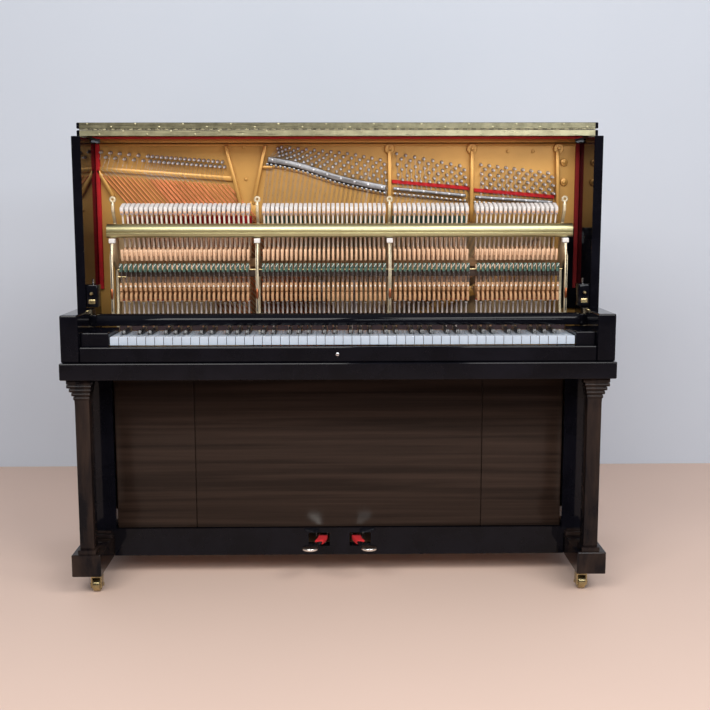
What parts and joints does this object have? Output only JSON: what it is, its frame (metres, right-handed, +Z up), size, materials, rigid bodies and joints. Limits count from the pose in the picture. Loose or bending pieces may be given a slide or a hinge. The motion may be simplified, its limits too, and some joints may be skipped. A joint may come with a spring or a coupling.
{
  "type": "upright piano",
  "caption": "Black polished upright piano, opened to show its gold plate, strings and action, with folding top lid, moving keys, pedals and casters.",
  "frame": {"origin": "on the floor, under the middle of the case", "axes": "+X to the treble end, -Y to the player, +Z up"},
  "size_m": [1.463, 0.598, 1.2735],
  "materials": {
    "black_polish": "black high-gloss polyester on laminated wood, a faint brown tone in low light",
    "hinge_brass": "full-length brass hinge, lightly polished",
    "frame_wood": "unpainted hardwood, satin",
    "spruce": "clear-lacquered straight-grained spruce",
    "gold_lacquer": "bronze-gold lacquer with fine metallic grain",
    "maple": "bare maple and beech, fine grain, satin",
    "bracket_metal": "cast bracket, dull gold",
    "pale_gold": "pale gold anodised rail, glossy",
    "white_felt": "dense pressed wool felt, white",
    "red_felt": "dark red wool felt",
    "ivory": "smooth warm white key covering",
    "ebony": "black sharps, satin",
    "pedal_metal": "bright polished pedal",
    "caster_brass": "brass caster, worn",
    "string_steel": "drawn music wire",
    "string_copper": "copper-wound bass string",
    "bright_metal": "plated pins, screws and pressure bars",
    "green_felt": "green-grey back check felt",
    "pedal_felt": "red sleeve on the pedal shank"
  },
  "bodies": {
    "case": {"action_bracket_1": "bracket_metal", "action_bracket_2": "bracket_metal", "action_bracket_3": "bracket_metal", "action_bracket_4": "bracket_metal", "action_rail": "frame_wood", "arm_left": "black_polish", "arm_right": "black_polish", "back_frame": "frame_wood", "bass_bridge": "maple", "bottom_board": "frame_wood", "bottom_frame": "black_polish", "fall_rail": "black_polish", "hinge_leaf_rear": "hinge_brass", "iron_plate": "gold_lacquer", "key_bed": "black_polish", "key_block_left": "black_polish", "key_block_right": "black_polish", "key_slip": "black_polish", "leg_left": "black_polish", "leg_right": "black_polish", "lid_rear": "black_polish", "pin_block": "frame_wood", "side_left": "black_polish", "side_right": "black_polish", "soundboard": "spruce", "toe_left": "black_polish", "toe_right": "black_polish", "treble_bridge": "maple"},
    "lid_flap": {"lid_front": "black_polish", "hinge_leaf_front": "hinge_brass"},
    "knee_panel": {"bottom_panel": "black_polish"},
    "hammer_rail": {"hammer_rail": "pale_gold", "hammers_bass": "white_felt", "hammers_tenor": "white_felt", "hammers_treble": "white_felt"},
    "hammer_c3": {"hammer_c3": "white_felt"},
    "dampers": {"dampers_bass": "red_felt", "dampers_treble": "red_felt"},
    "wippens_low": {"wippens_bass": "maple"},
    "wippens_high": {"wippens_tenor": "maple", "wippens_treble": "maple"},
    "wippen_c3": {"wippen_c3": "maple"},
    "white_keys_low": {"white_keys_low": "ivory"},
    "white_keys_high": {"white_keys_high": "ivory"},
    "black_keys_low": {"black_keys_low": "ebony"},
    "black_keys_high": {"black_keys_high": "ebony"},
    "key_c3": {"key_c3": "ivory"},
    "key_cs3": {"key_cs3": "ebony"},
    "pedal_left": {"pedal_left": "pedal_metal"},
    "pedal_right": {"pedal_right": "pedal_metal"},
    "pedal_rod_left": {"pedal_rod_left": "maple"},
    "pedal_rod_right": {"pedal_rod_right": "maple"},
    "caster_fork_front_left": {"caster_fork_front_left": "caster_brass"},
    "caster_wheel_front_left": {"caster_wheel_front_left": "caster_brass"},
    "caster_fork_front_right": {"caster_fork_front_right": "caster_brass"},
    "caster_wheel_front_right": {"caster_wheel_front_right": "caster_brass"},
    "caster_fork_rear_left": {"caster_fork_rear_left": "caster_brass"},
    "caster_wheel_rear_left": {"caster_wheel_rear_left": "caster_brass"},
    "caster_fork_rear_right": {"caster_fork_rear_right": "caster_brass"},
    "caster_wheel_rear_right": {"caster_wheel_rear_right": "caster_brass"}
  },
  "joints": [
    {"name": "lid_fold", "type": "hinge", "parent": "case", "child": "lid_flap", "pos_m": [0, -0.0075, 1.2545], "axis": [1, 0, 0], "range_deg": [0, 180]},
    {"name": "knee_panel_tilt", "type": "hinge", "parent": "case", "child": "knee_panel", "pos_m": [0, -0.11, 0.137], "axis": [1, 0, 0], "range_deg": [0, 18]},
    {"name": "pedal_left_press", "type": "hinge", "parent": "case", "child": "pedal_left", "pos_m": [-0.0465, -0.03, 0.104], "axis": [1, 0, 0], "range_deg": [0, 8], "stiffness_Nm_per_rad": 12, "springref_deg": -20.05},
    {"name": "pedal_rod_left_lift", "type": "slide", "parent": "case", "child": "pedal_rod_left", "axis": [0, 0, 1], "range_m": [0, 0.0152]},
    {"name": "pedal_right_press", "type": "hinge", "parent": "case", "child": "pedal_right", "pos_m": [0.0465, -0.03, 0.104], "axis": [1, 0, 0], "range_deg": [0, 8], "stiffness_Nm_per_rad": 12, "springref_deg": -20.05},
    {"name": "pedal_rod_right_lift", "type": "slide", "parent": "case", "child": "pedal_rod_right", "axis": [0, 0, 1], "range_m": [0, 0.0152]},
    {"name": "hammer_rail_swing", "type": "hinge", "parent": "case", "child": "hammer_rail", "pos_m": [0, 0.0367, 0.905], "axis": [-1, 0, 0], "range_deg": [0, 7.01]},
    {"name": "hammer_c3_blow", "type": "hinge", "parent": "hammer_rail", "child": "hammer_c3", "pos_m": [0, 0.0367, 0.905], "axis": [-1, 0, 0], "range_deg": [0, 13.31]},
    {"name": "dampers_lift", "type": "hinge", "parent": "case", "child": "dampers", "pos_m": [0, 0.0805, 0.85], "axis": [1, 0, 0], "range_deg": [0, 2.41]},
    {"name": "white_keys_low_press", "type": "hinge", "parent": "case", "child": "white_keys_low", "pos_m": [0, -0.1, 0.68], "axis": [1, 0, 0], "range_deg": [0, 3.5], "stiffness_Nm_per_rad": 25, "springref_deg": -11.46},
    {"name": "white_keys_high_press", "type": "hinge", "parent": "case", "child": "white_keys_high", "pos_m": [0, -0.1, 0.68], "axis": [1, 0, 0], "range_deg": [0, 3.5], "stiffness_Nm_per_rad": 40, "springref_deg": -11.46},
    {"name": "black_keys_low_press", "type": "hinge", "parent": "case", "child": "black_keys_low", "pos_m": [0, -0.1, 0.68], "axis": [1, 0, 0], "range_deg": [0, 3.5], "stiffness_Nm_per_rad": 8, "springref_deg": -11.46},
    {"name": "black_keys_high_press", "type": "hinge", "parent": "case", "child": "black_keys_high", "pos_m": [0, -0.1, 0.68], "axis": [1, 0, 0], "range_deg": [0, 3.5], "stiffness_Nm_per_rad": 15, "springref_deg": -11.46},
    {"name": "key_c3_press", "type": "hinge", "parent": "case", "child": "key_c3", "pos_m": [0, -0.1, 0.68], "axis": [1, 0, 0], "range_deg": [0, 3.5], "stiffness_Nm_per_rad": 1.2, "springref_deg": -11.46},
    {"name": "key_cs3_press", "type": "hinge", "parent": "case", "child": "key_cs3", "pos_m": [0, -0.1, 0.68], "axis": [1, 0, 0], "range_deg": [0, 3.5], "stiffness_Nm_per_rad": 0.8, "springref_deg": -11.46},
    {"name": "wippens_low_lift", "type": "hinge", "parent": "case", "child": "wippens_low", "pos_m": [0, 0.045, 0.801], "axis": [-1, 0, 0], "range_deg": [0, 6.66]},
    {"name": "wippens_high_lift", "type": "hinge", "parent": "case", "child": "wippens_high", "pos_m": [0, 0.045, 0.801], "axis": [-1, 0, 0], "range_deg": [0, 6.66]},
    {"name": "wippen_c3_lift", "type": "hinge", "parent": "case", "child": "wippen_c3", "pos_m": [0, 0.045, 0.801], "axis": [-1, 0, 0], "range_deg": [0, 6.66]},
    {"name": "caster_swivel_front_left", "type": "hinge", "parent": "case", "child": "caster_fork_front_left", "pos_m": [-0.6625, -0.24, 0.05], "axis": [0, 0, 1], "continuous": true},
    {"name": "caster_spin_front_left", "type": "hinge", "parent": "caster_fork_front_left", "child": "caster_wheel_front_left", "pos_m": [-0.6625, -0.24, 0.019], "axis": [1, 0, 0], "continuous": true},
    {"name": "caster_swivel_front_right", "type": "hinge", "parent": "case", "child": "caster_fork_front_right", "pos_m": [0.6625, -0.24, 0.05], "axis": [0, 0, 1], "continuous": true},
    {"name": "caster_spin_front_right", "type": "hinge", "parent": "caster_fork_front_right", "child": "caster_wheel_front_right", "pos_m": [0.6625, -0.24, 0.019], "axis": [1, 0, 0], "continuous": true},
    {"name": "caster_swivel_rear_left", "type": "hinge", "parent": "case", "child": "caster_fork_rear_left", "pos_m": [-0.6625, 0.24, 0.05], "axis": [0, 0, 1], "continuous": true},
    {"name": "caster_spin_rear_left", "type": "hinge", "parent": "caster_fork_rear_left", "child": "caster_wheel_rear_left", "pos_m": [-0.6625, 0.24, 0.019], "axis": [1, 0, 0], "continuous": true},
    {"name": "caster_swivel_rear_right", "type": "hinge", "parent": "case", "child": "caster_fork_rear_right", "pos_m": [0.6625, 0.24, 0.05], "axis": [0, 0, 1], "continuous": true},
    {"name": "caster_spin_rear_right", "type": "hinge", "parent": "caster_fork_rear_right", "child": "caster_wheel_rear_right", "pos_m": [0.6625, 0.24, 0.019], "axis": [1, 0, 0], "continuous": true}
  ],
  "couplings": [
    {"joint": "pedal_rod_left_lift", "follows": "pedal_left_press", "m_per_rad": 0.108},
    {"joint": "pedal_rod_right_lift", "follows": "pedal_right_press", "m_per_rad": 0.108},
    {"joint": "hammer_rail_swing", "follows": "pedal_left_press", "ratio": 0.875},
    {"joint": "dampers_lift", "follows": "pedal_right_press", "ratio": 0.3},
    {"joint": "wippens_low_lift", "follows": "white_keys_low_press", "ratio": 1.9},
    {"joint": "wippens_high_lift", "follows": "white_keys_high_press", "ratio": 1.9},
    {"joint": "wippen_c3_lift", "follows": "key_c3_press", "ratio": 1.9},
    {"joint": "hammer_c3_blow", "follows": "key_c3_press", "ratio": 3.8}
  ]
}
